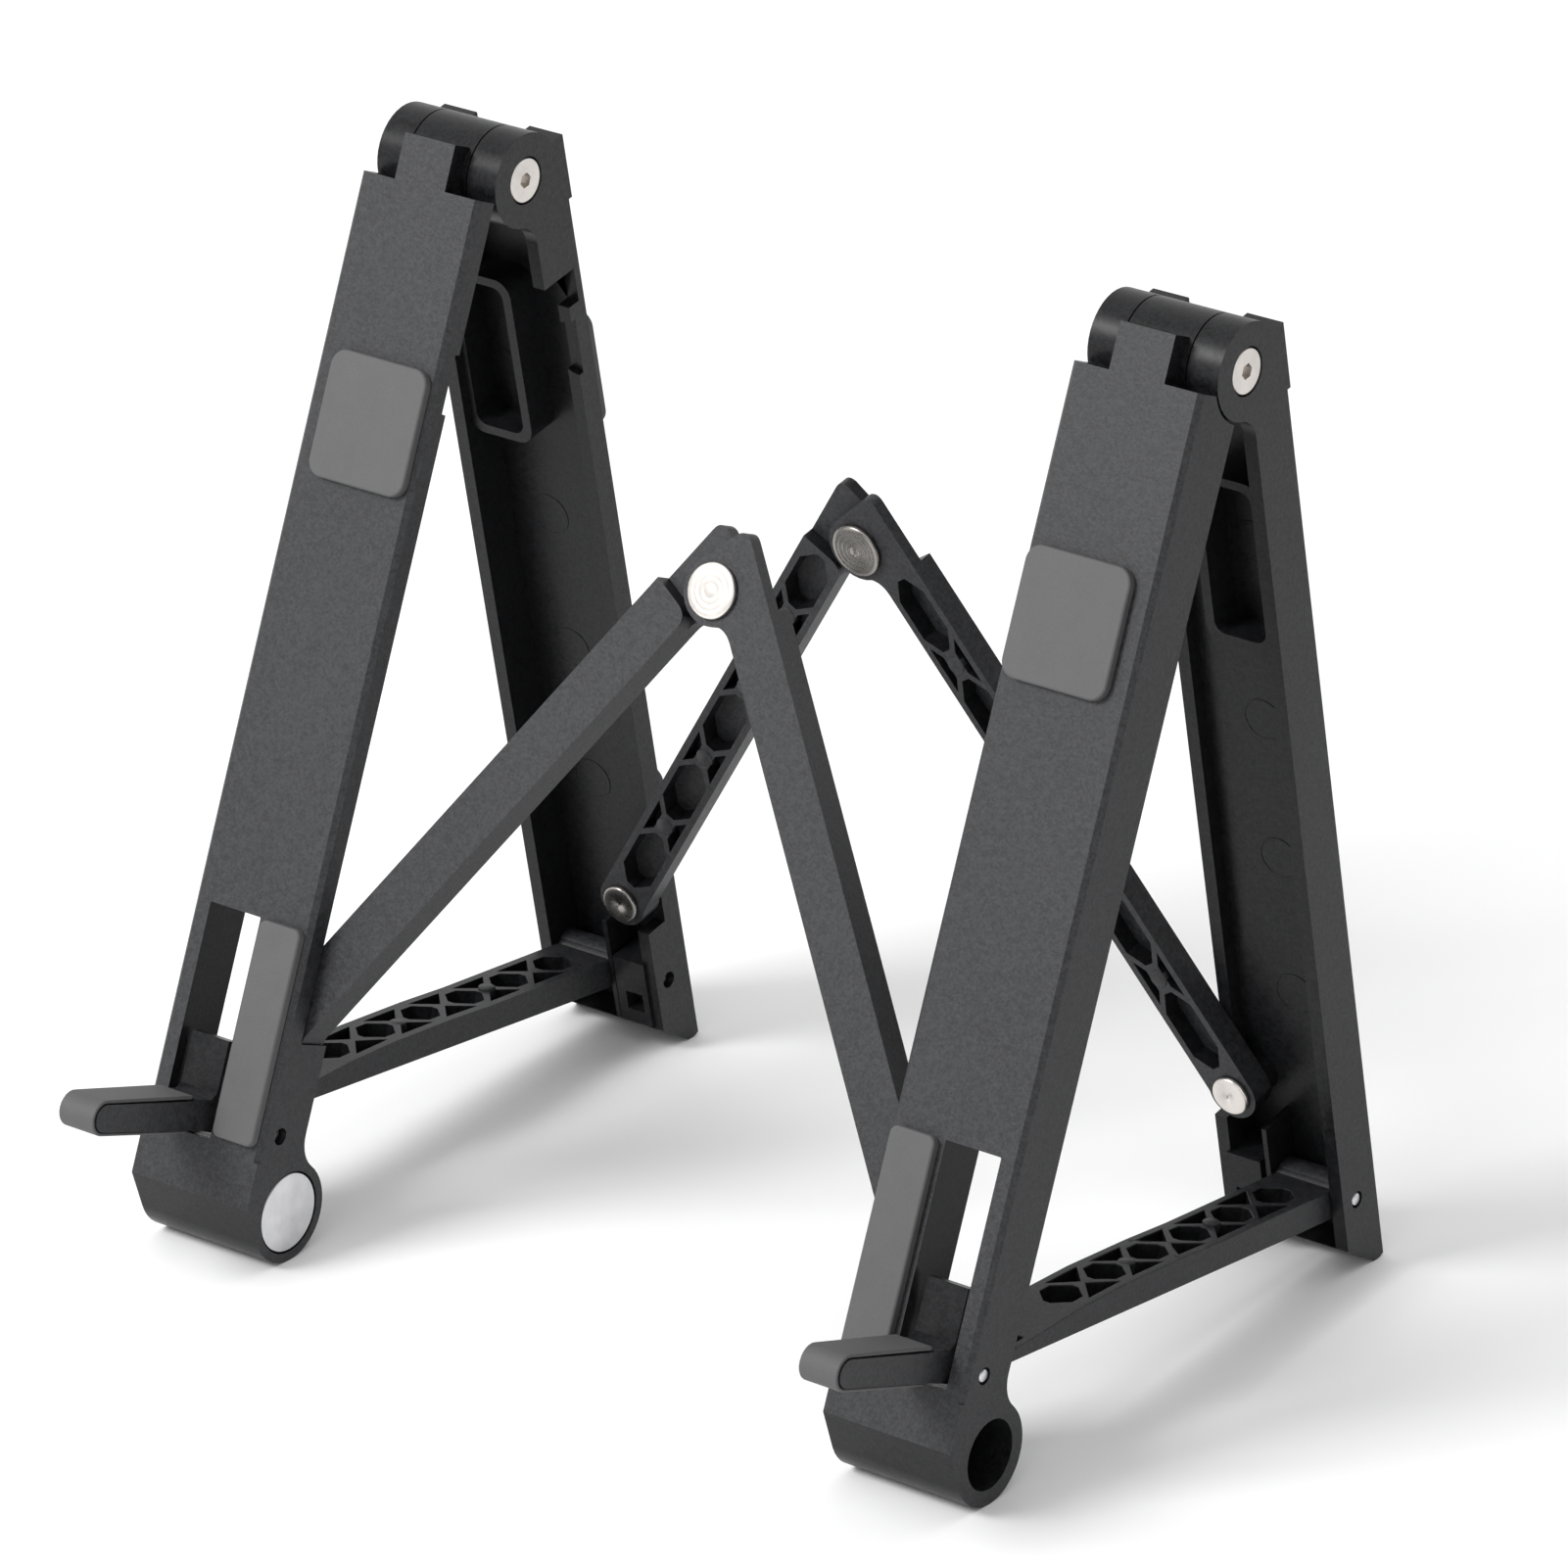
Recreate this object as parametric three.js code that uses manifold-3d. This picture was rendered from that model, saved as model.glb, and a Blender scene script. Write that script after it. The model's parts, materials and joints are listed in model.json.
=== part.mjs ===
// A folding twin A-frame stand: two hinged A-frames joined by two pairs of scissor links, with a strut
// between the feet of each frame and a folding hook that holds the lower edge of what stands on it.
// Millimetres, Z up, floor at Z = 0. The hooks face -Y.
import * as THREE from "three";
import { mergeVertices } from "three/addons/utils/BufferGeometryUtils.js";
import Module from "manifold-3d";

const wasm = await Module();
wasm.setup();
const deg = THREE.MathUtils.degToRad;

// ---- Driving dimensions ----
const FRAME_PITCH = 150; // between the centre planes of the two frames
const HALF = 13; // half the width of a leg
const FRONT_TILT = deg(22.07), REAR_TILT = deg(11.7); // of each leg from upright
const HINGE_Y = 28.02; // puts the origin under the middle of the stand
const BARREL = { u: 183, r: 9.1 }; // round foot of the front leg
const HINGE_Z = BARREL.u * Math.cos(FRONT_TILT) + BARREL.r;
const KNUCKLE_R = 8.5, MIDDLE_HALF = 6.5, OUTER_KNUCKLE = 6.8; // half widths where the knuckles meet
const TONGUE_HALF = 5.5, NOTCH_HALF = 5.8; // half widths of the tongue and of the gap between the posts
const FRONT = { face: 12, back: 9.5, lip: 7.5, rim: 0.2, top: 4.8 };
const REAR = { face: 11, back: 8.6, lip: 5.8, rim: 0.3, top: -3.4 };
const WALL = { outer: -10.4, inner: 10.5 }; // inside faces of the side walls
const MID_WALL = { a0: 2.3, a1: 3.25 };
const WINDOW = { a0: -9.35, a1: 1.85, u0: 133.6, u1: 173.2 };
const FRONT_PIN = { n: 7.33, u: 169.56 }, REAR_PIN = { n: 4.35, u: 168.98 };
const PIN_R = 1.25, PIN_BORE = 1.55;
const LINK_BASE = { a: 8.3, u: 151 }; // pivot of a scissor link on its leg
const LINK = { t: 114.3, off: 4.8, w0: -4.8, w1: 4.4, thickEnd: 107.6, end: 121.7, ear: 6.1, wall: 1.3 };
const LINK_LEAN = Math.asin((FRAME_PITCH / 2 - LINK_BASE.a) / Math.hypot(LINK.t, LINK.off))
  - Math.atan2(LINK.off, LINK.t);
const FRONT_LINK = { lo: 0.8, split: 3.9, hi: 7.0 }, REAR_LINK = { lo: 0.4, split: 2.8, hi: 5.2 };
const RIVET = { shank: 1.9, bore: 2.2, centre: 4.85, base: 3.6, head: 0.7 };
const HOOK = { a0: -8.1, a1: 0.1, tip: 39.7, tipU: 170.6, r: 2.6, band: 16.6 };
const BAND = { side: 0.25, thick: 0.6, gap: 0.15 }; // set in from the sides of the hook's arm, thickness, gap
const SOLE = { n0: 7.2, n1: 8.6, slope: 0.93, corner: 183.75 }; // flat of the rear foot, the rise before it
const STRUT = { a0: -10, a1: 1.9, reach: 105.5, fork: 92.5, floor: -1.4 };
const PAD_GAP = 0.15, PAD_FACE = 1.6;
const CLEAR = 0.3;
const OVER = 2; // how far a cutting shape runs past the face it opens

const paint = (color, roughness, metalness = 0) =>
  new THREE.MeshStandardMaterial({ color, roughness, metalness, flatShading: true });
const plastic = paint(0x3a3a3d, 0.6);
const silicone = paint(0x6e6e70, 0.7);
const nickel = paint(0xcdc7bf, 0.3, 1);
const steel = paint(0xd2d3d6, 0.4, 1);

// ---- Solids, in leg coordinates: x (a) across the leg towards the other frame, y (n) outwards from the
// hinge axis, z (u) down the leg from it. ----
function solid(geometry) {
  const bare = new THREE.BufferGeometry().setAttribute("position", geometry.getAttribute("position"));
  if (geometry.index) bare.setIndex(geometry.index);
  const merged = mergeVertices(bare, 1e-4);
  return new wasm.Manifold(new wasm.Mesh({
    numProp: 3,
    vertProperties: new Float32Array(merged.attributes.position.array),
    triVerts: new Uint32Array(merged.index.array),
  }));
}

const join = (...parts) => parts.reduce((sum, part) => sum.add(part));
const cut = (body, ...tools) => tools.reduce((rest, tool) => rest.subtract(tool), body);
const outline = (points) => new THREE.Shape(points.map(([x, y]) => new THREE.Vector2(x, y)));
const prism = (shape, depth) =>
  new THREE.ExtrudeGeometry(shape, { depth, bevelEnabled: false, curveSegments: 6 });

function box(a0, a1, n0, n1, u0, u1) {
  return solid(new THREE.BoxGeometry(a1 - a0, n1 - n0, u1 - u0)
    .translate((a0 + a1) / 2, (n0 + n1) / 2, (u0 + u1) / 2));
}

// A section of [a, n] points run down the leg from u0 to u1.
const down = (shape, u0, u1) => solid(prism(shape, u1 - u0).translate(0, 0, u0));

// A profile of [n, u] points run across the leg from a0 to a1.
function across(shape, a0, a1) {
  const turn = new THREE.Matrix4().makeBasis(
    new THREE.Vector3(0, 1, 0), new THREE.Vector3(0, 0, 1), new THREE.Vector3(1, 0, 0));
  return solid(prism(shape, a1 - a0).applyMatrix4(turn).translate(a0, 0, 0));
}

// A plan of [a, u] points run through the leg from n0 to n1.
const through = (shape, n0, n1) => solid(prism(shape, n1 - n0).rotateX(Math.PI / 2).translate(0, n1, 0));

const rodAcross = (r, a0, a1, n, u, sides = 32) => solid(
  new THREE.CylinderGeometry(r, r, a1 - a0, sides).rotateZ(Math.PI / 2).translate((a0 + a1) / 2, n, u));
const rodThrough = (r, n0, n1, a, u, sides = 32) => solid(
  new THREE.CylinderGeometry(r, r, n1 - n0, sides).translate(a, (n0 + n1) / 2, u));

// A turned solid of [radius, height] points about the n axis, or pointing along +a or -a.
const turned = (points, sides) =>
  new THREE.LatheGeometry(points.map(([r, h]) => new THREE.Vector2(r, h)), sides);
const turnedAcross = (points, way, sides = 32) => solid(turned(points, sides).rotateZ(-way * Math.PI / 2));
const turnedThrough = (points, a, u, sides = 32) => solid(turned(points, sides).translate(a, 0, u));

function roundedRect(x0, x1, y0, y1, r) {
  const s = new THREE.Shape();
  s.absarc(x1 - r, y0 + r, r, -Math.PI / 2, 0, false);
  s.absarc(x1 - r, y1 - r, r, 0, Math.PI / 2, false);
  s.absarc(x0 + r, y1 - r, r, Math.PI / 2, Math.PI, false);
  s.absarc(x0 + r, y0 + r, r, Math.PI, Math.PI * 1.5, false);
  return s;
}

function mesh(name, body, material) {
  const { vertProperties, triVerts } = body.getMesh();
  const g = new THREE.BufferGeometry()
    .setAttribute("position", new THREE.BufferAttribute(new Float32Array(vertProperties), 3))
    .setIndex(new THREE.BufferAttribute(new Uint32Array(triVerts), 1));
  g.computeVertexNormals();
  const made = new THREE.Mesh(g, material);
  made.name = name;
  return made;
}

// ---- Legs ----
// The section of a leg: a plate with a deep outer wall and an inner wall of its own depth. The outward
// face has a small chamfer along both edges.
function channel({ face, back, rim }, inner) {
  const c = 0.9;
  return outline([[-HALF, rim], [WALL.outer, rim], [WALL.outer, back], [WALL.inner, back],
    [WALL.inner, inner], [HALF, inner], [HALF, face - c], [HALF - c, face], [c - HALF, face], [-HALF, face - c]]);
}

// Round foot of the front leg, with the web that blends it into the back of the leg.
function barrelFoot() {
  const { u, r } = BARREL, { face, rim } = FRONT;
  const floor = 174.5; // the leg is solid from here down
  const lift = Math.acos(r / face); // where the sloping underside meets the round
  const fillet = 6, fn = rim - fillet, fu = u - Math.sqrt((r + fillet) ** 2 - fn ** 2);
  const blend = across(outline([[rim, fu], [fn, fu], [fn * r / (r + fillet), u + (fu - u) * r / (r + fillet)],
    [0, u], [rim + 1, u], [rim + 1, fu]]), -HALF, HALF);
  return join(
    cut(blend, rodAcross(fillet, -HALF - OVER, HALF + OVER, fn, fu, 40),
      box(WALL.outer, WALL.inner, -OVER, face, fu - OVER, floor)),
    across(outline([[rim, floor], [face, floor], [face, u], [r * Math.cos(lift), u + r * Math.sin(lift)],
      [0, u]]), -HALF, HALF),
    rodAcross(r, -HALF, HALF, 0, u, 48));
}

function frontLeg() {
  const { face, back, lip, rim, top } = FRONT;
  const wallTop = 152.8; // the inner wall is deep from here down
  const sides = cut(
    join(down(channel(FRONT, lip), top, wallTop + 1), down(channel(FRONT, rim), wallTop, BARREL.u)),
    rodAcross(KNUCKLE_R + 0.5, -HALF - OVER, HALF + OVER, 0, 0, 40));
  const tongue = across(outline([[0, -3.4], [face, -3.4], [face, 14], [back, 14], [4, 7], [0, 7]]),
    -TONGUE_HALF, TONGUE_HALF);
  const body = join(sides, tongue, barrelFoot(),
    rodAcross(KNUCKLE_R, -MIDDLE_HALF, MIDDLE_HALF, 0, 0, 40),
    box(MID_WALL.a0, MID_WALL.a1, 0.6, back + 0.5, 128, 175),
    rodThrough(4, 7.3, back + 0.5, LINK_BASE.a, LINK_BASE.u, 24));
  const outerBore = 15, seat = 2.3; // depths of the foot's open bore and of the disc's seat
  return cut(body,
    through(roundedRect(WINDOW.a0, WINDOW.a1, WINDOW.u0, WINDOW.u1, 0.25), back - OVER, face + OVER),
    rodAcross(2.3, -HALF, HALF, 0, 0, 24),
    rodAcross(6.25, -HALF - OVER, outerBore - HALF, 0, BARREL.u, 36),
    rodAcross(7.45, HALF - seat, HALF + OVER, 0, BARREL.u, 36),
    rodAcross(PIN_BORE, -HALF - OVER, HALF + OVER, FRONT_PIN.n, FRONT_PIN.u, 20),
    rodThrough(5.2, -OVER, 7.3, LINK_BASE.a, LINK_BASE.u), // room for the link's hub
    rodThrough(RIVET.bore, 7, 10.2, LINK_BASE.a, LINK_BASE.u, 20),
    rodThrough(5.3, 7, 8.6, HALF + 0.3, 36.7)); // room for the centre rivet when the stand is closed
}

// The line of the floor across the foot of the rear leg.
const floorU = (n) => (HINGE_Z + n * Math.sin(REAR_TILT)) / Math.cos(REAR_TILT);

function rearLeg(headEnd) {
  const { face, back, lip, rim, top } = REAR, { n0, n1, slope, corner } = SOLE;
  const bottom = 190;
  const noLip = channel(REAR, back - 0.01);
  const sides = join(
    down(channel(REAR, rim), 0, 22), down(noLip, top, 29), down(channel(REAR, lip), 28.5, 158),
    down(channel(REAR, rim + 0.6), 157, bottom),
    box(-HALF, HALF, rim, back + 0.5, 180, bottom));
  const ring = cut(through(roundedRect(-10.8, 3.2, 24, 57, 3.2), 2, back + 0.5),
    through(roundedRect(-9, 1.4, 25.7, 55.3, 2.2), 0, back));
  const block = cut(box(4, WALL.inner + 0.5, rim, back + 0.5, 164, bottom),
    box(5.9, 9.7, -OVER, 3.2, 171, 174.8));
  const body = cut(join(sides, ring),
    rodAcross(KNUCKLE_R + 0.4, -OUTER_KNUCKLE, OUTER_KNUCKLE, 0, 0, 40),
    box(-OUTER_KNUCKLE, OUTER_KNUCKLE, -9, 8.2, -9, 9),
    box(-NOTCH_HALF, NOTCH_HALF, -OVER, face + OVER, top - OVER, 2));
  const knuckles = [-1, 1].map((s) => {
    const a = [s * OUTER_KNUCKLE, s * HALF].sort((p, q) => p - q);
    return join(rodAcross(KNUCKLE_R, ...a, 0, 0, 40), box(...a, 0, face, top, 9));
  });
  // Webs that blend the knuckles into the edges of the side walls.
  const fillet = 5, fn = rim - fillet, fu = Math.sqrt((KNUCKLE_R + fillet) ** 2 - fn ** 2);
  const meet = KNUCKLE_R / (KNUCKLE_R + fillet);
  const webs = [[-HALF, WALL.outer], [WALL.inner, HALF]].map(([a0, a1]) => cut(
    across(outline([[rim, fu], [fn, fu], [fn * meet, fu * meet], [0, 0], [rim + 1, 0], [rim + 1, fu]]), a0, a1),
    rodAcross(fillet, a0 - OVER, a1 + OVER, fn, fu, 32)));
  return cut(join(body, ...knuckles, ...webs, block,
    box(MID_WALL.a0, MID_WALL.a1, 0.9, back + 0.5, 157, bottom),
    rodThrough(4, 5.5, back + 0.5, LINK_BASE.a, LINK_BASE.u, 24)),
  across(outline([[-OVER, floorU(n0) - (n0 + OVER) * slope], [n0, floorU(n0)], [n1, floorU(n1)], [face, corner],
    [face + OVER, corner], [face + OVER, bottom + OVER], [-OVER, bottom + OVER]]), -HALF - OVER, HALF + OVER),
  rodAcross(2.3, -HALF - OVER, HALF + OVER, 0, 0, 24),
  turnedAcross([[0, 10], [2.3, 10], [4.3, 12.5], [4.3, 15], [0, 15]], headEnd), // seat of the screw's head
  turnedAcross([[0, 9.4], [4.4, 9.4], [4.4, 15], [0, 15]], -headEnd, 6), // pocket of its nut
  rodAcross(PIN_BORE, -HALF - OVER, HALF + OVER, REAR_PIN.n, REAR_PIN.u, 20),
  rodThrough(5.2, -OVER, 5.5, LINK_BASE.a, LINK_BASE.u),
  rodThrough(RIVET.bore, 5, 9.3, LINK_BASE.a, LINK_BASE.u, 20),
  rodThrough(5.4, 4, 6.9, HALF + 0.3, 36.7));
}

// ---- Hinge hardware ----
function hingeScrew(headEnd) {
  const body = turnedAcross([[0, -12.4], [2, -12.4], [2, 10.35], [4, 12.6], [4, 12.85], [0, 12.85]], headEnd);
  return cut(body, turnedAcross([[0, 11], [1.45, 11], [1.45, 14], [0, 14]], headEnd, 6));
}

const hingeNut = (headEnd) =>
  turnedAcross([[2.3, 9.7], [4.04, 9.7], [4.04, 12.6], [2.3, 12.6], [2.3, 9.7]], -headEnd, 6);

// A steel pin from just inside the outer face to short of the inner one.
const pin = ({ n, u }) => rodAcross(PIN_R, 0.15 - HALF, HALF - 1.2, n, u, 20);

// Riveted pivots: a shank between a head at each end, or with one head and a blind end.
function centreRivet({ lo, hi }) {
  const { shank, centre, head } = RIVET;
  return turnedThrough([[0, lo - CLEAR - head], [centre, lo - CLEAR - head], [centre, lo - CLEAR],
    [shank, lo - CLEAR], [shank, hi + CLEAR], [centre, hi + CLEAR], [centre, hi + CLEAR + head],
    [0, hi + CLEAR + head]], LINK.off, -LINK.t);
}

function baseRivet({ lo }, end) {
  const { shank, base, head } = RIVET;
  return turnedThrough([[0, lo - CLEAR - head], [base, lo - CLEAR - head], [base, lo - CLEAR],
    [shank, lo - CLEAR], [shank, end], [0, end]], LINK_BASE.a, LINK_BASE.u);
}

// ---- Scissor links. x (w) across the bar towards the shared pivot, y (n), z = -t, with t along the bar
// from its base pivot. ----
const linkPoints = (points) => outline(points.map(([w, t]) => [w, -t]));

// The half-thick ear round the shared pivot.
function earShape() {
  const { t, off, w0, w1, thickEnd, end, ear } = LINK;
  const corner = 2, reach = [w0 + corner - off, end - t];
  const touch = Math.atan2(reach[1], reach[0]) - Math.acos(ear / Math.hypot(...reach));
  const s = new THREE.Shape();
  s.moveTo(w0, -100);
  s.lineTo(w0, corner - end);
  s.quadraticCurveTo(w0, -end, w0 + corner, -end);
  s.lineTo(off + ear * Math.cos(touch), -t - ear * Math.sin(touch));
  s.absarc(off, -t, ear, -touch, deg(78), false);
  s.quadraticCurveTo(w1, 0.5 - thickEnd, w1, 3 - thickEnd);
  s.lineTo(w1, -100);
  return s;
}

function link({ lo, split, hi }, earOutside) {
  const { w0, w1, t, off, thickEnd, wall } = LINK;
  const corner = 3, mid = (w0 + w1) / 2;
  const bar = new THREE.Shape();
  bar.moveTo(w0, 0);
  bar.lineTo(w0, -thickEnd);
  bar.lineTo(w1 - corner, -thickEnd);
  bar.quadraticCurveTo(w1, -thickEnd, w1, corner - thickEnd);
  bar.lineTo(w1, 0);
  const ear = earOutside ? [split + CLEAR / 2, hi] : [lo, split - CLEAR / 2];
  const pockets = [];
  const pitch = 21.6, first = 5.4, length = 15.6, floor = hi - 1.3;
  const tip = 0.9, slant = 3.4, neck = 1.6; // half width of a pocket's tip, its taper, half width of the neck
  for (let i = 0; i < 5; i++) {
    const t0 = first + i * pitch, t1 = Math.min(t0 + length, thickEnd - wall);
    pockets.push(linkPoints([[mid - tip, t0], [mid + tip, t0], [w1 - wall, t0 + slant], [w1 - wall, t1 - slant],
      [mid + tip, t1], [mid - tip, t1], [w0 + wall, t1 - slant], [w0 + wall, t0 + slant]]));
    if (i < 4)
      for (const [edge, s] of [[w0 + wall, -1], [w1 - wall, 1]])
        pockets.push(linkPoints([[edge, t1 - 1.5], [mid + s * neck, t1 + 0.9], [mid + s * neck, t1 + 5.1],
          [edge, t1 + 7.5]]));
  }
  return cut(join(through(bar, lo, hi), rodThrough(-w0, lo, hi, 0, 0), through(earShape(), ...ear)),
    ...pockets.map((p) => through(p, lo - OVER, floor)),
    rodThrough(RIVET.bore, lo - OVER, hi + OVER, 0, 0, 20),
    rodThrough(RIVET.bore, lo - OVER, hi + OVER, off, -t, 20));
}

// ---- Hook: a stubby arm on the front pin, with a heel that fills the foot of the window ----
function armShape(start, grow) {
  const { tip, tipU, r } = HOOK;
  const s = new THREE.Shape();
  s.moveTo(start, 166.6 - grow);
  s.lineTo(tip, tipU - r - grow);
  s.absarc(tip, tipU, r + grow, -Math.PI / 2, Math.PI / 2, false);
  s.lineTo(start, 172.2 + grow);
  return s;
}

function hookArm() {
  const { a0, a1, band } = HOOK;
  const root = across(outline([[8.2, 156.1], [10.5, 156.1], [10.5, 165.4], [11.7, 166.6], [band - CLEAR, 166.6],
    [band - CLEAR, 172.2], [12, 172.2], [7.3, 172.56], [4.9, 167.8]]), a0, a1);
  const arm = join(root, across(armShape(12, -BAND.gap), a0, a1),
    rodAcross(3, a0, a1, FRONT_PIN.n, FRONT_PIN.u, 28));
  return cut(arm, rodAcross(PIN_BORE, a0 - OVER, a1 + OVER, FRONT_PIN.n, FRONT_PIN.u, 20));
}

// Silicone sleeve over the top, tip and underside of the arm.
function hookBand() {
  const { a0, a1, band } = HOOK, { side, thick } = BAND;
  return cut(across(armShape(band, thick), a0 + side, a1 - side),
    across(armShape(band - OVER, 0), a0 - OVER, a1 + OVER));
}

// ---- Strut. x (a), y (q) above the line of the pins, z (p) from the rear pin towards the front one ----
function strut() {
  const { a0, a1, reach, fork, floor } = STRUT;
  const profile = outline([[1.8, 0], [2, 36.7], [2.4, 48.7], [2.5, 65.7], [2, 77.7], [0.45, 93.7],
    [-0.7, reach], [-1.9, reach], [-2.1, 93.7], [-2.3, 77.7], [-2.6, 65.7], [-2.8, 48.7], [-3.1, 36.7], [-3.6, 12.7],
    [-3.7, 0]]);
  const rim = 1.5, mid = (a0 + a1) / 2, pitch = 12.6, tip = 4, tipHalf = 0.7, side = 3.35, sideHalf = 1.5;
  const pockets = [];
  for (let i = 0; i < 6; i++) {
    const p = 12.6 + i * pitch;
    pockets.push(outline([[mid - tipHalf, p - tip], [mid + tipHalf, p - tip], [mid + side, p - sideHalf],
      [mid + side, p + sideHalf], [mid + tipHalf, p + tip], [mid - tipHalf, p + tip],
      [mid - side, p + sideHalf], [mid - side, p - sideHalf]]));
    if (i < 5)
      for (const [edge, s] of [[a0 + rim, 1], [a1 - rim, -1]])
        pockets.push(outline([[edge, p + 1.9], [mid - s * 0.5, p + pitch / 2], [edge, p + pitch - 1.9]]));
  }
  return cut(join(across(profile, a0, a1), rodAcross(3.8, a0, a1, 0, 0, 32)),
    ...pockets.map((s) => through(s, floor, 6)),
    box(-8.6, 0.6, -6, 6, fork, reach + OVER),
    rodAcross(PIN_BORE, a0 - OVER, a1 + OVER, 0, 0, 20));
}

// ---- Silicone pads ----
const pad = (a0, a1, u0, u1, r, face) =>
  through(roundedRect(a0, a1, u0, u1, r), face + PAD_GAP, face + PAD_FACE);

// ---- The two frames ----
function group(y, z, turn, scale, parts) {
  const g = new THREE.Group();
  g.position.set(0, y, z);
  g.rotation.x = turn;
  g.scale.z = scale;
  g.add(...parts);
  return g;
}

// A link stands on its leg's base pivot and leans towards the other frame.
function placedLink(...parts) {
  const g = new THREE.Group();
  g.position.set(LINK_BASE.a, 0, LINK_BASE.u);
  g.rotation.y = -LINK_LEAN;
  g.add(...parts);
  return g;
}

function frame(label, side) {
  const part = (name, body, material) => mesh(label + "_" + name, body, material);
  const left = side > 0;
  const front = group(HINGE_Y, HINGE_Z, Math.PI - FRONT_TILT, 1, [
    part("front_leg", frontLeg(), plastic),
    part("album_pad", pad(-9, 12, 35.1, 57.6, 3, FRONT.face), silicone),
    part("long_pad", pad(2.9, 12, 133.5, 172.1, 1.5, FRONT.face), silicone),
    part("hook_arm", hookArm(), plastic),
    part("hook_band", hookBand(), silicone),
    part("hook_pin", pin(FRONT_PIN), steel),
    part("barrel_disc", rodAcross(7.15, HALF - 2, HALF, 0, BARREL.u, 36), steel),
    part("front_base_rivet", baseRivet(FRONT_LINK, 9.8), nickel),
    placedLink(
      part("front_link", link(FRONT_LINK, !left), plastic),
      ...(left ? [part("front_centre_rivet", centreRivet(FRONT_LINK), nickel)] : [])),
  ]);
  const rear = group(HINGE_Y, HINGE_Z, REAR_TILT, -1, [
    part("rear_leg", rearLeg(side), plastic),
    part("hinge_screw", hingeScrew(side), nickel),
    part("hinge_nut", hingeNut(side), nickel),
    part("rear_pad_upper", pad(-9, 12, 33, 56, 3, REAR.face), silicone),
    part("rear_pad_lower", pad(-9, 12, 128, 150, 3, REAR.face), silicone),
    part("strut_pin", pin(REAR_PIN), steel),
    part("rear_base_rivet", baseRivet(REAR_LINK, 8.9), nickel),
    placedLink(
      part("rear_link", link(REAR_LINK, left), plastic),
      ...(left ? [part("rear_centre_rivet", centreRivet(REAR_LINK), nickel)] : [])),
  ]);
  // The pins of the strut, in the world's [y, z].
  const at = ({ n, u }, tilt, way) => [
    HINGE_Y + way * (n * Math.cos(tilt) + u * Math.sin(tilt)),
    HINGE_Z + n * Math.sin(tilt) - u * Math.cos(tilt)];
  const [fy, fz] = at(FRONT_PIN, FRONT_TILT, -1), [ry, rz] = at(REAR_PIN, REAR_TILT, 1);
  const brace = group(ry, rz, Math.PI / 2 - Math.atan2(fz - rz, ry - fy), 1, [part("strut", strut(), plastic)]);
  const whole = new THREE.Group();
  whole.position.x = -side * FRAME_PITCH / 2;
  whole.scale.x = side;
  whole.add(front, rear, brace);
  return whole;
}

const stand = new THREE.Group();
stand.add(frame("left", 1), frame("right", -1));
export default stand;
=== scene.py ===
import json
import math

import bmesh
import bpy
from bpy.props import FloatProperty, FloatVectorProperty, PointerProperty
from mathutils import Matrix, Vector


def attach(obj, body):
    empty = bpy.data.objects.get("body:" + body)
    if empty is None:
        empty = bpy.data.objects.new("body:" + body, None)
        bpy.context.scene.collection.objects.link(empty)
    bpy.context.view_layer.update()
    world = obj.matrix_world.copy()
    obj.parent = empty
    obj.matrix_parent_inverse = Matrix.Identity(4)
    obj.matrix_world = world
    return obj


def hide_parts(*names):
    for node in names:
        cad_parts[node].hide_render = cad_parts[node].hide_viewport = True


bl_info = {
    "name": "Folding A-frame stand",
    "version": (1, 0, 0),
    "blender": (4, 5, 0),
    "location": "View3D > Sidebar > Stand",
    "description": "Finishes the pieces of a folding stand with two A-frames and sets up its studio",
    "category": "Object",
}

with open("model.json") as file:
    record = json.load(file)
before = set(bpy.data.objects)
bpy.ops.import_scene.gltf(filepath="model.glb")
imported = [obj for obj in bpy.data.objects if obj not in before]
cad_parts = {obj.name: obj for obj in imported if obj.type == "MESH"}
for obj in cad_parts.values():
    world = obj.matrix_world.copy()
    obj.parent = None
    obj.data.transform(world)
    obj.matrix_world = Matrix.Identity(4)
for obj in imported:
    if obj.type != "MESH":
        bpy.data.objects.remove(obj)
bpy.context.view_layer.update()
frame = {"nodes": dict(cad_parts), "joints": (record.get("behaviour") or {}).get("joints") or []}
JOINTS = {joint["name"]: joint for joint in frame["joints"]}

MM = 0.001
SIDES = {"left": 1, "right": -1}  # the way along X from each frame to the other one
HALF = 13.0  # half the width of a leg
FRONT_FACE, REAR_FACE = 12.0, 11.0  # outward faces of the legs, from the hinge axis
REAR_FLOOR = 8.6  # floor of the rear leg's channel
EJECTOR_SPOTS = (-3.6, 40), (-1.5, 76), (-1.5, 104), (-1.5, 132)  # across and down the rear leg
LINK_BASE = (8.3, 151.0)  # across and down the leg
LINK_PIVOT = (4.8, 114.3)  # across and along the link, from its base
LINK_SPAN, LINK_MIDDLE = (-3.8, 3.4), -0.2  # between a link's edges, and its middle line
LINK_FIRST_BOSS, LINK_PITCH = 24.0, 21.6  # crossings of a link's ribs, along it from its base
STRUT_SPAN, STRUT_MIDDLE = (-8.9, 0.8), -4.05
STRUT_BOSSES = (31.5, 56.7)  # along the strut from its rear pin
CENTRE_RIVET, BASE_RIVET, RIVET_SHANK = 4.85, 3.6, 1.9  # radii of the rivets' heads and of their shanks
RIVET_HEAD, RIVET_RING = 0.7, 0.03  # a head's height, and the depth of the rings turned in it
SHARP, CORNER = math.radians(50), math.radians(32)  # edges kept sharp in the shading, and edges rounded off


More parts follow.
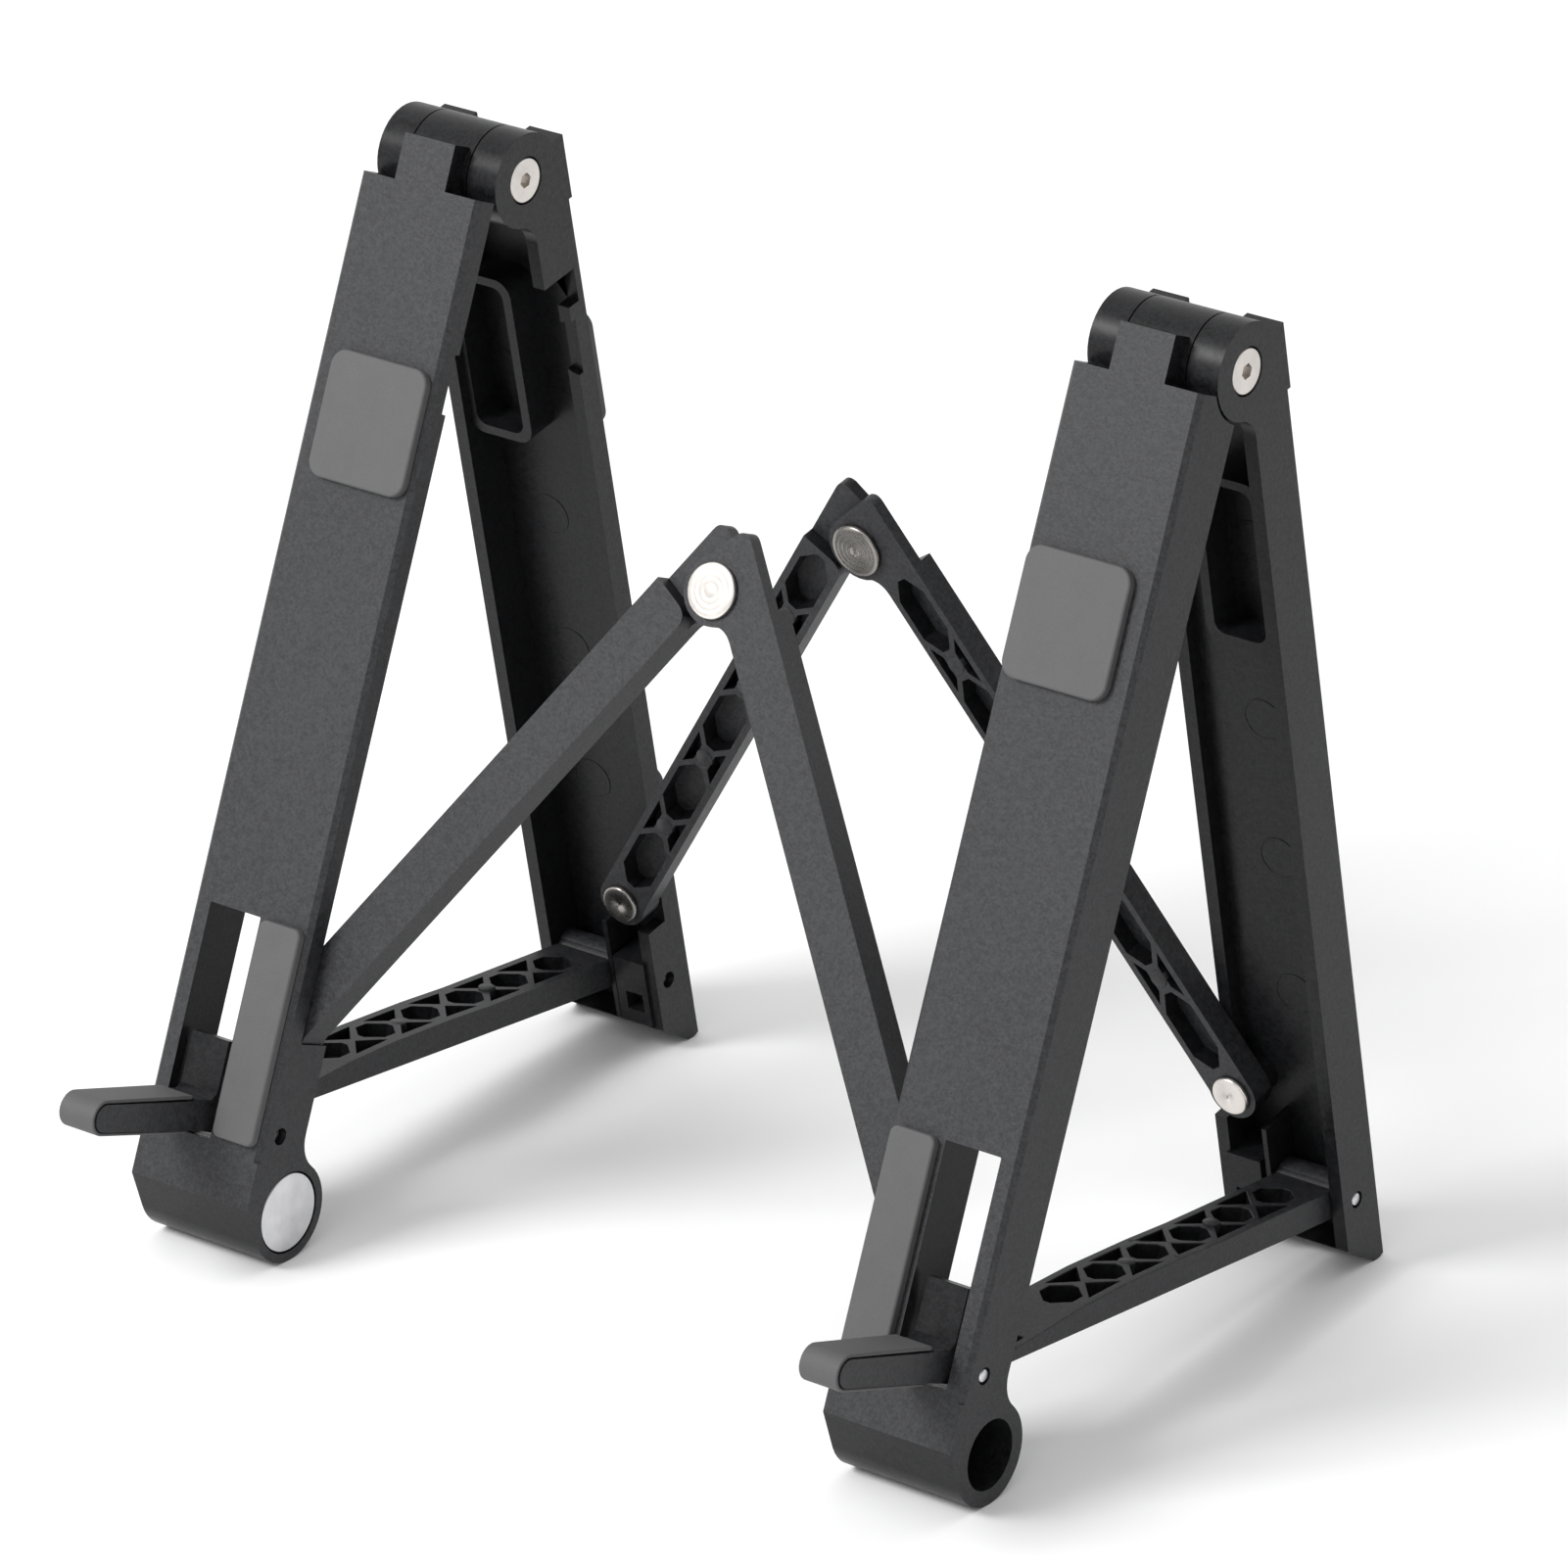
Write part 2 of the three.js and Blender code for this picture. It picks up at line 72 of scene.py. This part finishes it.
# ---- Places ----
def leg_place(side, leg):
    """Leg coordinates in millimetres, to the frame: x across the leg, y outwards, z down from the hinge."""
    joint = JOINTS["leg_fold" if side == "left" else "leg_fold_right"]
    spread = Vector(JOINTS["spread" if leg == "front" else "spread_rear_left"]["axis"])
    out = spread if leg == "front" else -spread
    way = -1 if leg == "front" else 1
    down = Vector((0, way * out.z, -way * out.y))
    return place_from((SIDES[side], 0, 0), out, down, joint["pos_m"])


def strut_place(side):
    """Strut coordinates: x across, y up from the line of its pins, z from the rear pin to the front one."""
    rear, front = (Vector(JOINTS[name + side]["pos_m"]) for name in ("strut_", "hook_"))
    along = (front - rear).normalized()
    return place_from((SIDES[side], 0, 0), (0, along.z, -along.y), along, rear)


def link_place(side, leg):
    """Link coordinates: x across the bar, y outwards, z back along the bar from its base pivot."""
    start = JOINTS["spread" if leg == "front" else "spread_rear_left"]
    centre = JOINTS["spread_front_centre" if leg == "front" else "spread_rear_centre"]
    reach = (Vector(centre["pos_m"]) - Vector(start["pos_m"])) / MM
    lean = math.asin(reach.x / reach.length) - math.atan2(*LINK_PIVOT)
    return (leg_place(side, leg) @ Matrix.Translation((LINK_BASE[0], 0, LINK_BASE[1]))
            @ Matrix.Rotation(-lean, 4, "Y"))


def place_from(across, up, along, origin):
    """The matrix from coordinates along these axes, in millimetres, to the frame's metres."""
    columns = [Vector(across) * MM, Vector(up) * MM, Vector(along) * MM, Vector(origin)]
    return Matrix([[column[row] for column in columns] for row in range(3)] + [[0, 0, 0, 1]])


# ---- Shapes, all in millimetres ----
def edges_over(bm, angle):
    """Edges where two faces meet at more than this angle."""
    return [e for e in bm.edges if len(e.link_faces) == 2 and e.calc_face_angle(0) > angle]


def soften(bm, edges, width, segments=2):
    """Rounds these edges."""
    bmesh.ops.bevel(bm, geom=edges, offset=width, offset_type="OFFSET", affect="EDGES",
                    segments=segments, profile=0.5, material=-1, clamp_overlap=True)


def from_cad(node, place):
    """A merged copy of a node, in its leg's millimetres."""
    bm = bmesh.new()
    bm.from_mesh(frame["nodes"][node].data)
    bm.transform(place.inverted())
    bmesh.ops.remove_doubles(bm, verts=bm.verts, dist=0.004)
    bmesh.ops.dissolve_degenerate(bm, edges=bm.edges, dist=0.004)
    bmesh.ops.dissolve_limit(bm, angle_limit=math.radians(0.6), verts=bm.verts, edges=bm.edges)
    return bm


def block(bm, low, high):
    """A box between two corners."""
    size = Vector(high) - Vector(low)
    place = Matrix.Translation((Vector(low) + Vector(high)) / 2) @ Matrix.Diagonal((*size, 1))
    bmesh.ops.create_cube(bm, size=1, matrix=place)


def turned(bm, profile, centre, axis, steps):
    """A solid turned about an axis through centre, from a profile of (radius, height) that ends on it."""
    axis = Vector(axis)
    side = axis.orthogonal().normalized()
    verts = [bm.verts.new(Vector(centre) + side * r + axis * h) for r, h in profile]
    edges = [bm.edges.new(pair) for pair in zip(verts, verts[1:])]
    bmesh.ops.spin(bm, geom=verts + edges, cent=centre, axis=axis, angle=math.tau, steps=steps,
                   use_merge=True, use_duplicate=False)
    bmesh.ops.remove_doubles(bm, verts=bm.verts, dist=0.0005)


def ringed(radius, rings, base, height, depth, hollow=0.0):
    """The profile of a flat turned head with shallow rings and a hollow centre, from its rim to the axis."""
    top = base + height
    step = (radius - 0.6) / (rings + 1)
    points = [(radius, base), (radius, base + height * 0.55), (radius - 0.12, base + height * 0.85),
              (radius - 0.35, top)]
    for ring in range(1, rings + 1):
        r = radius - 0.35 - ring * step
        points += [(r + 0.14, top), (r, top - depth), (r - 0.14, top)]
    if hollow:
        points += [(hollow + 0.15, top), (hollow, top - 0.15), (hollow * 0.7, top - 0.2)]
    return points + [(0, top - (0.2 if hollow else 0))]


def rounded_slab(bm, x0, x1, z0, z1, y0, y1, corner, edge):
    """A pad: a slab with round corners and a soft upper edge."""
    block(bm, (x0, y0, z0), (x1, y1, z1))
    upright = [e for e in bm.edges if abs(e.verts[0].co.y - e.verts[1].co.y) > 0.5 * (y1 - y0)]
    soften(bm, upright, corner, 8)
    rim = [e for e in bm.edges if all(abs(v.co.y - y1) < 1e-4 for v in e.verts)]
    soften(bm, rim, edge, 4)


# ---- Materials ----
class Wire:
    """A socket that adds its Math nodes when it is used in an expression."""

    def __init__(self, shader, socket):
        self.shader, self.socket = shader, socket

    def _math(self, operation, first, second):
        return self.shader.add("ShaderNodeMath", {"operation": operation}, {0: first, 1: second})

    def __add__(self, other):
        return self._math("ADD", self, other)

    __radd__ = __add__

    def __mul__(self, other):
        return self._math("MULTIPLY", self, other)

    __rmul__ = __mul__


class Shader:
    """A material's node tree, with one method that adds a node."""

    def __init__(self, name):
        self.material = bpy.data.materials.new(name)
        self.material.use_nodes = True
        self.tree = self.material.node_tree
        self.tree.nodes.clear()

    def add(self, kind, settings=None, inputs=None, out=0):
        """Adds a node, sets its settings, then its sockets, and returns one output."""
        node = self.tree.nodes.new(kind)
        for key, value in (settings or {}).items():
            setattr(node, key, value)
        for key, value in (inputs or {}).items():
            if isinstance(value, Wire):
                self.tree.links.new(value.socket, node.inputs[key])
            else:
                node.inputs[key].default_value = value
        return None if out is None else Wire(self, node.outputs[out])

    def place(self):
        return self.add("ShaderNodeTexCoord", out="Object")

    def noise(self, where, scale, detail, roughness):
        return self.add("ShaderNodeTexNoise", None,
                        {"Vector": where, "Scale": scale, "Detail": detail, "Roughness": roughness})

    def blend(self, amount, dark, light):
        """A colour between two, by amount."""
        return self.add("ShaderNodeMix", {"data_type": "RGBA"}, {0: amount, 6: dark, 7: light}, out=2)

    def bump(self, height, distance, strength):
        return self.add("ShaderNodeBump", None,
                        {"Height": height, "Distance": distance, "Strength": strength})

    def finish(self, **sockets):
        """Ends the tree in a Principled shader with these sockets."""
        names = {key.replace("_", " "): value for key, value in sockets.items()}
        principled = self.add("ShaderNodeBsdfPrincipled", None, names)
        self.add("ShaderNodeOutputMaterial", None, {"Surface": principled}, out=None)
        return self.material


def tone(colour, factor):
    """A colour made lighter or darker."""
    return (*[channel * factor for channel in colour[:3]], 1.0)


def moulded_plastic(name, colour, roughness, gloss, bump):
    """Charcoal plastic. The outside is from a spark-eroded mould, with a fine even grain."""
    s = Shader(name)
    where = s.place()
    grain = s.noise(where, 1700, 3.0, 0.7)
    fleck = s.noise(where, 750, 2.0, 0.6)
    flow = s.noise(where, 28, 2.0, 0.5)
    shade = s.add("ShaderNodeMapRange", None,
                  {"Value": grain * 0.6 + fleck * 0.3 + flow * 0.1, "From Min": 0.4, "From Max": 0.6})
    rough = s.add("ShaderNodeMapRange", None,
                  {"Value": fleck * 0.6 + flow * 0.4, "From Min": 0.3, "From Max": 0.7,
                   "To Min": roughness - 0.05, "To Max": roughness + 0.07})
    return s.finish(Base_Color=s.blend(shade, tone(colour, 0.5), tone(colour, 1.65)), Roughness=rough,
                    Specular_IOR_Level=gloss, Normal=s.bump(grain * 0.7 + fleck * 0.5, 0.00009, bump))


def soft_silicone(name, colour):
    """Grey silicone rubber: very fine grain, slightly dusty."""
    s = Shader(name)
    where = s.place()
    grain = s.noise(where, 3000, 2.0, 0.6)
    dust = s.noise(where, 160, 4.0, 0.6)
    shade = s.add("ShaderNodeMapRange", None,
                  {"Value": grain * 0.45 + dust * 0.55, "From Min": 0.34, "From Max": 0.66})
    return s.finish(Base_Color=s.blend(shade, tone(colour, 0.9), tone(colour, 1.1)),
                    Roughness=0.62 + dust * 0.12, Normal=s.bump(grain, 0.00002, 0.5))


def plated_metal(name, colour, roughness):
    """Nickel-plated steel with a fine turned grain."""
    s = Shader(name)
    where = s.place()
    grain = s.noise(where, 1800, 3.0, 0.6)
    smear = s.noise(where, 240, 3.0, 0.55)
    shade = s.add("ShaderNodeMapRange", None, {"Value": smear, "From Min": 0.3, "From Max": 0.7})
    return s.finish(Base_Color=s.blend(shade, tone(colour, 0.86), tone(colour, 1.05)), Metallic=1.0,
                    Roughness=roughness + smear * 0.14, Normal=s.bump(grain, 0.00001, 0.35))


# ---- Pieces ----
def surface(name):
    """One of the stand's materials, made when it is first asked for."""
    made = bpy.data.materials.get(name)
    if made:
        return made
    c = bpy.context.scene.stand_colours
    if name == "charcoal_plastic":
        return moulded_plastic(name, c.plastic, c.plastic_roughness, 0.42, 0.7)
    # Painted shade: the plastic's colour halved and its specular lowered, so that the insides of the legs,
    # the knuckles and the pockets read dark; only the finer grain is the plastic's own.
    if name == "smooth_plastic_painted_shade":
        return moulded_plastic(name, tone(c.plastic, 0.5), 0.34, 0.2, 0.1)
    if name == "grey_silicone":
        return soft_silicone(name, c.silicone)
    # Painted shade: the same nickel at 0.42 of its colour, for rivets drawn darker than their bright twins,
    # namely the left frame's base rivets and the rear centre rivet.
    if name == "shaded_nickel":
        return plated_metal(name, tone(c.nickel, 0.42), 0.2)
    if name == "nickel_plate":
        return plated_metal(name, c.nickel, 0.24)
    return plated_metal(name, c.steel, 0.3)


def finish_piece(name, bm, place, body, material, *nodes, inside=None):
    """Puts a shape in its place in the frame as a smooth-shaded piece that stands for these nodes.

    The faces that inside picks are smooth plastic, from the polished side of the mould, drawn with a halved
    colour and a weaker specular as painted shade in the hollows, knuckles and pockets."""
    if inside:
        for face in bm.faces:
            face.material_index = int(inside(face))
    bm.transform(place)
    bmesh.ops.recalc_face_normals(bm, faces=bm.faces)
    for face in bm.faces:
        face.smooth = True
    for edge in bm.edges:
        edge.smooth = len(edge.link_faces) == 2 and edge.calc_face_angle(math.pi) < SHARP
    mesh = bpy.data.meshes.new(name)
    bm.to_mesh(mesh)
    bm.free()
    mesh.materials.append(surface(material))
    # The second slot is the smooth plastic with painted shade, for the faces that inside picks.
    if inside:
        mesh.materials.append(surface("smooth_plastic_painted_shade"))
    piece = bpy.data.objects.new(name, mesh)
    bpy.context.scene.collection.objects.link(piece)
    normals = piece.modifiers.new("Even shading", "WEIGHTED_NORMAL")
    normals.keep_sharp = True
    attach(piece, body)
    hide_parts(*nodes)
    return piece


def within_leg(front):
    """Tells the faces inside a leg, and its knuckles, from its front and its two sides."""
    # The faces picked here get painted shade from the darker smooth plastic.
    def inside(face):
        centre = face.calc_center_median()
        return centre.y < front - 1.2 and abs(centre.x) < HALF - 0.3
    return inside


def ejector_marks(bm, spots, level, radius):
    """Shallow round marks that the mould's ejector pins leave on a floor at this level."""
    rim, dish = level - 0.12, level - 0.03
    for x, z in spots:
        turned(bm, [(radius, level + 0.2), (radius, rim), (radius - 0.25, rim), (radius - 0.3, dish),
                    (0, dish)], (x, 0, z), (0, 1, 0), 32)


def boss(bm, spot, radius, root, top, lip, steps):
    """A low round boss from root to top, its edge broken by lip."""
    turned(bm, [(0, root), (radius, root), (radius, top + lip), (radius - 0.15, top), (0, top)],
           (spot[0], 0, spot[1]), (0, 1, 0), steps)


def front_leg(side, sizes):
    """The front leg, with the small ribs behind its tongue."""
    place = leg_place(side, "front")
    node = side + "_front_leg"
    bm = from_cad(node, place)
    soften(bm, edges_over(bm, CORNER), sizes.edge)
    for x in (-4.9, 4.2):
        block(bm, (x, 3.0, 7.5), (x + 0.7, 9.6, 12.5))
    finish_piece(side + "_front_leg_shell", bm, place, node, "charcoal_plastic", node,
                 inside=within_leg(FRONT_FACE))


def rear_leg(side, sizes):
    """The rear leg, with ejector marks down its inside."""
    place = leg_place(side, "rear")
    node = side + "_rear_leg"
    bm = from_cad(node, place)
    soften(bm, edges_over(bm, CORNER), sizes.edge)
    ejector_marks(bm, EJECTOR_SPOTS, REAR_FLOOR, 4)
    finish_piece(side + "_rear_leg_shell", bm, place, node, "charcoal_plastic", node,
                 inside=within_leg(REAR_FACE))


def cored(span):
    """Tells the walls and floors of the pockets between a bar's two edges from its outside."""
    low, high = span

    # The faces picked here get painted shade from the darker smooth plastic.
    def inside(face):
        centre = face.calc_center_median()
        return low < centre.x < high and abs(face.normal.y) < 0.7
    return inside


def strut(side, sizes):
    """The strut, with a low round boss on every second crossing of its ribs."""
    place = strut_place(side)
    node = side + "_strut"
    bm = from_cad(node, place)
    soften(bm, edges_over(bm, CORNER), sizes.fine_edge)
    finish_piece(side + "_strut_bar", bm, place, node, "charcoal_plastic", node, inside=cored(STRUT_SPAN))
    bm = bmesh.new()
    for z in STRUT_BOSSES:
        boss(bm, (STRUT_MIDDLE, z), 1.55, 0.6, 2.5, -0.15, 24)
    finish_piece(side + "_strut_bosses", bm, place, node, "charcoal_plastic")


def link(side, leg, sizes):
    """A scissor link, with a boss at each crossing of the ribs on its cored face."""
    place = link_place(side, leg)
    node = f"{side}_{leg}_link"
    bm = from_cad(node, place)
    soften(bm, edges_over(bm, CORNER), sizes.fine_edge)
    finish_piece(node + "_bar", bm, place, node, "charcoal_plastic", node, inside=cored(LINK_SPAN))
    bm = bmesh.new()
    low = 0.8 if leg == "front" else 0.4
    for crossing in range(4):
        spot = (LINK_MIDDLE, -LINK_FIRST_BOSS - crossing * LINK_PITCH)
        boss(bm, spot, 1.75, low + 1.0, low - 0.18, 0.13, 28)
    finish_piece(node + "_bosses", bm, place, node, "charcoal_plastic")


def hook(side, sizes):
    """The hook's arm with its silicone sleeve."""
    place = leg_place(side, "front")
    body = side + "_hook"
    bm = from_cad(side + "_hook_arm", place)
    soften(bm, edges_over(bm, CORNER), sizes.fine_edge)
    # The arm's faces behind the front face get the darker smooth plastic: painted shade inside the leg's
    # window.
    finish_piece(side + "_hook_bar", bm, place, body, "charcoal_plastic", side + "_hook_arm",
                 inside=lambda face: face.calc_center_median().y < FRONT_FACE)
    bm = from_cad(side + "_hook_band", place)
    soften(bm, edges_over(bm, CORNER), 0.3, segments=3)
    finish_piece(side + "_hook_sleeve", bm, place, body, "grey_silicone", side + "_hook_band")


def pads(side, sizes):
    """The four silicone pads of one frame."""
    for name, leg, face, size, corner in (
            ("album_pad", "front", FRONT_FACE, (-9, 12, 35.1, 57.6), 3.0),
            ("long_pad", "front", FRONT_FACE, (2.9, 12, 133.5, 172.1), 1.5),
            ("rear_pad_upper", "rear", REAR_FACE, (-9, 12, 33, 56), 3.0),
            ("rear_pad_lower", "rear", REAR_FACE, (-9, 12, 128, 150), 3.0)):
        bm = bmesh.new()
        rounded_slab(bm, *size, face + sizes.pad_gap, face + sizes.pad_face, corner, sizes.pad_edge)
        node = f"{side}_{name}"
        finish_piece(node + "_silicone", bm, leg_place(side, leg), f"{side}_{leg}_leg", "grey_silicone", node)


def rivet(name, body, node, place, spot, low, high, radius, rings, hollow, material, end=None):
    """A riveted pivot: a ringed head at its near end and, unless end is given, one at its far end."""
    bm = bmesh.new()
    near = [(r, 2 * low - y) for r, y in ringed(radius, rings, low, RIVET_HEAD, RIVET_RING, hollow)]
    if end:
        far = [(RIVET_SHANK, end), (0, end)]
    else:
        far = [(RIVET_SHANK, high)] + ringed(radius, rings, high, RIVET_HEAD, RIVET_RING, hollow)
    turned(bm, near[::-1] + [(RIVET_SHANK, low)] + far, (spot[0], 0, spot[1]), (0, 1, 0), 72)
    finish_piece(name, bm, place, body, material, node)


def hex_socket(bm, radius, half_width):
    """Draws a round recess about x, of this radius, in to a hexagon."""
    for v in bm.verts:
        if abs(math.hypot(v.co.y, v.co.z) - radius) < 0.01:
            turn = math.atan2(v.co.z, v.co.y) % math.radians(60) - math.radians(30)
            v.co.yz = Vector(v.co.yz) * (half_width / math.cos(turn) / radius)


def fasteners(side, sizes):
    """Screw, nut, pins, steel disc and base rivets of one frame."""
    for leg, low, end in (("front", 0.5, 9.6), ("rear", 0.1, 8.7)):
        # The left frame's base rivets get the nickel darkened as painted shade; the right frame's get the
        # bright nickel.
        rivet(f"{side}_{leg}_base_rivet_head", f"{side}_{leg}_leg", f"{side}_{leg}_base_rivet",
              leg_place(side, leg), LINK_BASE, low, None, BASE_RIVET, 0, 0.35,
              "shaded_nickel" if side == "left" else "nickel_plate", end)
    front, rear = leg_place(side, "front"), leg_place(side, "rear")
    bm = bmesh.new()
    turned(bm, [(0, 11.0), (7.0, 11.0), (7.15, 11.15), (7.15, 12.75), (6.95, 12.97), (0, 12.97)],
           (0, 0, 183), (1, 0, 0), 96)
    finish_piece(side + "_foot_disc", bm, front, side + "_front_leg", "satin_steel", side + "_barrel_disc")
    for pin, body, place, spot in (("hook_pin", "front_leg", front, (7.33, 169.56)),
                                   ("strut_pin", "rear_leg", rear, (4.35, 168.98))):
        bm = bmesh.new()
        turned(bm, [(0, -12.85), (1.0, -12.85), (1.25, -12.6), (1.25, 11.55), (1.0, 11.8), (0, 11.8)],
               (0, *spot), (1, 0, 0), 40)
        finish_piece(f"{side}_{pin}_rod", bm, place, f"{side}_{body}", "satin_steel", f"{side}_{pin}")
    bm = bmesh.new()
    turned(bm, [(0, -12.4), (1.8, -12.4), (2, -12.2), (2, 10.35), (3.9, 12.5), (4, 12.65), (3.85, 12.85),
                (1.45, 12.85), (1.45, 11.2), (0, 11.2)], (0, 0, 0), (SIDES[side], 0, 0), 72)
    hex_socket(bm, 1.45, 1.25)
    finish_piece(side + "_hinge_screw_bolt", bm, rear, side + "_rear_leg", "nickel_plate",
                 side + "_hinge_screw")
    bm = from_cad(side + "_hinge_nut", rear)
    soften(bm, edges_over(bm, math.radians(40)), 0.2)
    finish_piece(side + "_hinge_nut_hex", bm, rear, side + "_rear_leg", "nickel_plate", side + "_hinge_nut")


# ---- Settings ----
class StandSizes(bpy.types.PropertyGroup):
    edge: FloatProperty(name="Edge", description="Rounding of the legs' edges, in millimetres", default=0.28)
    fine_edge: FloatProperty(name="Fine edge", description="Rounding of the smaller parts, in millimetres",
                             default=0.22)
    pad_gap: FloatProperty(name="Pad gap", description="Glue line under a pad, in millimetres", default=0.1)
    pad_face: FloatProperty(name="Pad height", description="Height of a pad over its leg, in millimetres",
                            default=1.6)
    pad_edge: FloatProperty(name="Pad edge", description="Rounding of a pad's upper edge, in millimetres",
                            default=0.5)


def colour_setting(name, description, default):
    return FloatVectorProperty(name=name, description=description, subtype="COLOR", size=3, min=0, max=1,
                               default=default)


class StandColours(bpy.types.PropertyGroup):
    plastic: colour_setting("Plastic", "Moulded plastic of the legs, links and struts",
                            (0.0168, 0.0172, 0.0192))
    plastic_roughness: FloatProperty(name="Plastic roughness", description="Roughness of the plastic",
                                     default=0.5, min=0, max=1)
    silicone: colour_setting("Silicone", "Pads and hook sleeves", (0.077, 0.077, 0.0785))
    nickel: colour_setting("Nickel", "Screws, nuts and rivets", (0.78, 0.74, 0.7))
    steel: colour_setting("Steel", "Pins and foot discs", (0.7, 0.7, 0.72))


# ---- Operators ----
class STAND_OT_legs(bpy.types.Operator):
    """Makes the four legs"""
    bl_idname = "stand.legs"
    bl_label = "Legs"

    def execute(self, context):
        for side in SIDES:
            front_leg(side, context.scene.stand_sizes)
            rear_leg(side, context.scene.stand_sizes)
        return {"FINISHED"}


class STAND_OT_struts(bpy.types.Operator):
    """Makes the two struts"""
    bl_idname = "stand.struts"
    bl_label = "Struts"

    def execute(self, context):
        for side in SIDES:
            strut(side, context.scene.stand_sizes)
        return {"FINISHED"}


class STAND_OT_links(bpy.types.Operator):
    """Makes the four scissor links and their shared rivets"""
    bl_idname = "stand.links"
    bl_label = "Scissor links"

    def execute(self, context):
        for side in SIDES:
            for leg in ("front", "rear"):
                link(side, leg, context.scene.stand_sizes)
        for leg, low, high, rings, hollow in (("front", 0.5, 7.3, 3, 0.0), ("rear", 0.1, 5.5, 4, 0.8)):
            # The rear centre rivet gets the nickel darkened as painted shade; the front one gets the bright
            # nickel.
            rivet(f"{leg}_centre_rivet_heads", f"left_{leg}_link", f"left_{leg}_centre_rivet",
                  link_place("left", leg), (LINK_PIVOT[0], -LINK_PIVOT[1]), low, high, CENTRE_RIVET,
                  rings, hollow, "nickel_plate" if leg == "front" else "shaded_nickel")
        return {"FINISHED"}


class STAND_OT_hooks(bpy.types.Operator):
    """Makes the two folding hooks"""
    bl_idname = "stand.hooks"
    bl_label = "Hooks"

    def execute(self, context):
        for side in SIDES:
            hook(side, context.scene.stand_sizes)
        return {"FINISHED"}


class STAND_OT_pads(bpy.types.Operator):
    """Makes the silicone pads"""
    bl_idname = "stand.pads"
    bl_label = "Pads"

    def execute(self, context):
        for side in SIDES:
            pads(side, context.scene.stand_sizes)
        return {"FINISHED"}


class STAND_OT_fasteners(bpy.types.Operator):
    """Makes the screws, nuts, pins, discs and base rivets"""
    bl_idname = "stand.fasteners"
    bl_label = "Fasteners"

    def execute(self, context):
        for side in SIDES:
            fasteners(side, context.scene.stand_sizes)
        return {"FINISHED"}


class STAND_OT_studio(bpy.types.Operator):
    """Sets up the floor, the lights and the camera"""
    bl_idname = "stand.studio"
    bl_label = "Studio"

    def execute(self, context):
        studio(context.scene)
        return {"FINISHED"}


def softbox(scene, name, place, target, size, power):
    """A square area light aimed at target."""
    light = bpy.data.lights.new(name, "AREA")
    light.shape, light.size, light.energy = "SQUARE", size, power
    lamp = bpy.data.objects.new(name, light)
    lamp.location = place
    lamp.rotation_euler = (Vector(target) - Vector(place)).to_track_quat("-Z", "Y").to_euler()
    scene.collection.objects.link(lamp)


def sheet(name, size, dark, light, roughness, scale):
    """A flat square of the studio, with a slightly cloudy matt surface between two greys."""
    bm = bmesh.new()
    bmesh.ops.create_grid(bm, x_segments=1, y_segments=1, size=size / 2)
    mesh = bpy.data.meshes.new(name)
    bm.to_mesh(mesh)
    bm.free()
    s = Shader(name)
    cloud = s.noise(s.place(), scale, 2.0, 0.5)
    mesh.materials.append(s.finish(Base_Color=s.blend(cloud, (dark, dark, dark, 1), (light, light, light, 1)),
                                   Roughness=roughness))
    made = bpy.data.objects.new(name, mesh)
    bpy.context.scene.collection.objects.link(made)
    return made


def studio(scene):
    """A pale floor under a white room's soft light, a black card at one side, and the camera."""
    floor = sheet("floor", size=12, dark=0.92, light=0.94, roughness=0.8, scale=3.0)
    card = sheet("black_card", size=1.1, dark=0.004, light=0.008, roughness=0.95, scale=40.0)
    card.location = (0.75, 0.35, 0.62)
    card.rotation_euler = (0, math.radians(-90), math.radians(12))
    card.visible_camera = False  # it only keeps light off the sides that face it
    world = bpy.data.worlds.new("white_room")
    world.use_nodes = True
    background = world.node_tree.nodes["Background"]
    background.inputs["Color"].default_value = (1, 1, 1, 1)
    background.inputs["Strength"].default_value = 1.0
    scene.world = world
    softbox(scene, "key", (-0.55, -0.95, 1.0), (0, 0, 0.09), 0.5, 15)
    lens = bpy.data.cameras.new("camera")
    lens.sensor_width, lens.lens = 36, 223.9
    lens.clip_start, lens.clip_end = 0.05, 30
    camera = bpy.data.objects.new("camera", lens)
    camera.location = (0.9225, -1.1974, 0.7506)
    camera.rotation_euler = (math.radians(90 - 23.54), 0, math.radians(37.17))
    scene.collection.objects.link(camera)
    scene.camera = camera
    scene.view_settings.view_transform = "Standard"


class STAND_PT_panel(bpy.types.Panel):
    """Lists the stand's settings and operators"""
    bl_idname = "STAND_PT_panel"
    bl_label = "Stand"
    bl_space_type = "VIEW_3D"
    bl_region_type = "UI"
    bl_category = "Stand"

    def draw(self, context):
        for group in (context.scene.stand_sizes, context.scene.stand_colours):
            for key in group.__annotations__:
                self.layout.prop(group, key)
        for operator in OPERATORS:
            self.layout.operator(operator.bl_idname)


OPERATORS = (STAND_OT_legs, STAND_OT_struts, STAND_OT_links, STAND_OT_hooks, STAND_OT_pads,
             STAND_OT_fasteners, STAND_OT_studio)
CLASSES = (StandSizes, StandColours, *OPERATORS, STAND_PT_panel)


def register():
    for cls in CLASSES:
        bpy.utils.register_class(cls)
    bpy.types.Scene.stand_sizes = PointerProperty(type=StandSizes)
    bpy.types.Scene.stand_colours = PointerProperty(type=StandColours)


def unregister():
    del bpy.types.Scene.stand_colours
    del bpy.types.Scene.stand_sizes
    for cls in reversed(CLASSES):
        bpy.utils.unregister_class(cls)


def main():
    register()
    bpy.ops.stand.legs()
    bpy.ops.stand.struts()
    bpy.ops.stand.links()
    bpy.ops.stand.hooks()
    bpy.ops.stand.pads()
    bpy.ops.stand.fasteners()
    bpy.ops.stand.studio()


if __name__ == "__main__":
    main()
